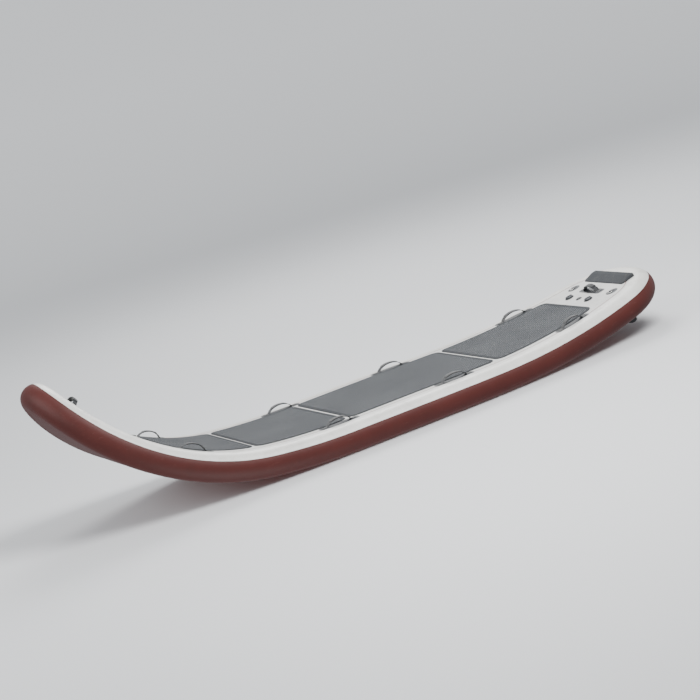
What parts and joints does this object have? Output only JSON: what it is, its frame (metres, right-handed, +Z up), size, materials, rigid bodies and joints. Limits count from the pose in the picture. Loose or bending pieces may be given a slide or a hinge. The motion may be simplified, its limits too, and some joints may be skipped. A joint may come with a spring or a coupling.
{
  "type": "giant inflatable stand-up paddleboard",
  "caption": "Crew-size inflatable paddleboard with a high curved nose, padded deck, grab handles, D-rings, valves and slide-in fins.",
  "frame": {"origin": "on the floor that the board rests on, under the middle of its overall length and width", "axes": "+X towards the nose, +Y to port, +Z up"},
  "size_m": [4.6982, 1.5238, 1.0908],
  "materials": {
    "hull_pvc": "satin dark red coated fabric",
    "rail_pvc": "satin white coated fabric",
    "deck_pvc": "satin off-white coated fabric",
    "deck_foam": "grooved closed-cell foam",
    "patch_pvc": "satin coated fabric",
    "webbing": "woven",
    "ring_steel": "polished",
    "valve_plastic": "moulded",
    "cap_plastic": "moulded",
    "fin_plastic": "moulded"
  },
  "bodies": {
    "board": {"hull": "hull_pvc", "rail_tape_lower": "hull_pvc", "rail_tape_upper": "rail_pvc", "deck_sheet": "deck_pvc", "deck_pad_rear": "deck_foam", "deck_pad_middle": "deck_foam", "deck_pad_front": "deck_foam", "deck_pad_bow": "deck_foam", "kick_pad": "deck_foam", "handle_patch_stern_port": "patch_pvc", "handle_strap_stern_port": "webbing", "handle_patch_stern_starboard": "patch_pvc", "handle_strap_stern_starboard": "webbing", "handle_patch_aft_port": "patch_pvc", "handle_strap_aft_port": "webbing", "handle_patch_aft_starboard": "patch_pvc", "handle_strap_aft_starboard": "webbing", "handle_patch_fore_port": "patch_pvc", "handle_strap_fore_port": "webbing", "handle_patch_fore_starboard": "patch_pvc", "handle_strap_fore_starboard": "webbing", "handle_patch_bow_port": "patch_pvc", "handle_strap_bow_port": "webbing", "handle_patch_bow_starboard": "patch_pvc", "handle_strap_bow_starboard": "webbing", "handle_patch_nose": "patch_pvc", "handle_strap_nose": "webbing", "handle_patch_tail": "patch_pvc", "handle_strap_tail": "webbing", "dring_mount_tow_nose": "patch_pvc", "dring_mount_cargo_fore_port": "patch_pvc", "dring_mount_cargo_fore_starboard": "patch_pvc", "dring_mount_cargo_aft_port": "patch_pvc", "dring_mount_cargo_aft_starboard": "patch_pvc", "dring_mount_leash_tail_port": "patch_pvc", "dring_mount_leash_tail_starboard": "patch_pvc", "valve_body_port": "valve_plastic", "valve_body_starboard": "valve_plastic", "relief_valve": "valve_plastic", "fin_box_centre": "valve_plastic", "fin_box_port": "valve_plastic", "fin_box_starboard": "valve_plastic"},
    "ring_tow_nose": {"dring_tow_nose": "ring_steel"},
    "ring_cargo_fore_port": {"dring_cargo_fore_port": "ring_steel"},
    "ring_cargo_fore_starboard": {"dring_cargo_fore_starboard": "ring_steel"},
    "ring_cargo_aft_port": {"dring_cargo_aft_port": "ring_steel"},
    "ring_cargo_aft_starboard": {"dring_cargo_aft_starboard": "ring_steel"},
    "ring_leash_tail_port": {"dring_leash_tail_port": "ring_steel"},
    "ring_leash_tail_starboard": {"dring_leash_tail_starboard": "ring_steel"},
    "cap_port": {"valve_cap_port": "cap_plastic"},
    "cap_starboard": {"valve_cap_starboard": "cap_plastic"},
    "fin_centre_body": {"fin_centre": "fin_plastic"},
    "fin_port_body": {"fin_port": "fin_plastic"},
    "fin_starboard_body": {"fin_starboard": "fin_plastic"}
  },
  "joints": [
    {"name": "swing_tow_nose", "type": "hinge", "parent": "board", "child": "ring_tow_nose", "pos_m": [2.0994, 0, 0.95135], "axis": [0, 1, 0], "range_deg": [0, 160]},
    {"name": "swing_cargo_fore_port", "type": "hinge", "parent": "board", "child": "ring_cargo_fore_port", "pos_m": [1.9577, 0.2, 0.76147], "axis": [0, 1, 0], "range_deg": [0, 160]},
    {"name": "swing_cargo_fore_starboard", "type": "hinge", "parent": "board", "child": "ring_cargo_fore_starboard", "pos_m": [1.9577, -0.2, 0.76147], "axis": [0, 1, 0], "range_deg": [0, 160]},
    {"name": "swing_cargo_aft_port", "type": "hinge", "parent": "board", "child": "ring_cargo_aft_port", "pos_m": [1.75409, 0.29, 0.56732], "axis": [0, 1, 0], "range_deg": [0, 160]},
    {"name": "swing_cargo_aft_starboard", "type": "hinge", "parent": "board", "child": "ring_cargo_aft_starboard", "pos_m": [1.75409, -0.29, 0.56732], "axis": [0, 1, 0], "range_deg": [0, 160]},
    {"name": "swing_leash_tail_port", "type": "hinge", "parent": "board", "child": "ring_leash_tail_port", "pos_m": [-1.93182, 0.3, 0.33172], "axis": [0, -1, 0], "range_deg": [0, 160]},
    {"name": "swing_leash_tail_starboard", "type": "hinge", "parent": "board", "child": "ring_leash_tail_starboard", "pos_m": [-1.93182, -0.3, 0.33172], "axis": [0, -1, 0], "range_deg": [0, 160]},
    {"name": "turn_cap_port", "type": "hinge", "parent": "board", "child": "cap_port", "pos_m": [-1.81519, 0.15, 0.30346], "axis": [0.1849, 0, 0.9828], "range_deg": [0, 90]},
    {"name": "turn_cap_starboard", "type": "hinge", "parent": "board", "child": "cap_starboard", "pos_m": [-1.81519, -0.15, 0.30346], "axis": [0.1849, 0, 0.9828], "range_deg": [0, 90]},
    {"name": "slide_fin_centre", "type": "slide", "parent": "board", "child": "fin_centre_body", "axis": [-0.9743, 0, 0.2251], "range_m": [0, 0.06]},
    {"name": "slide_fin_port", "type": "slide", "parent": "board", "child": "fin_port_body", "axis": [-0.9757, 0.0349, 0.2163], "range_m": [0, 0.06]},
    {"name": "slide_fin_starboard", "type": "slide", "parent": "board", "child": "fin_starboard_body", "axis": [-0.9757, -0.0349, 0.2163], "range_m": [0, 0.06]}
  ]
}
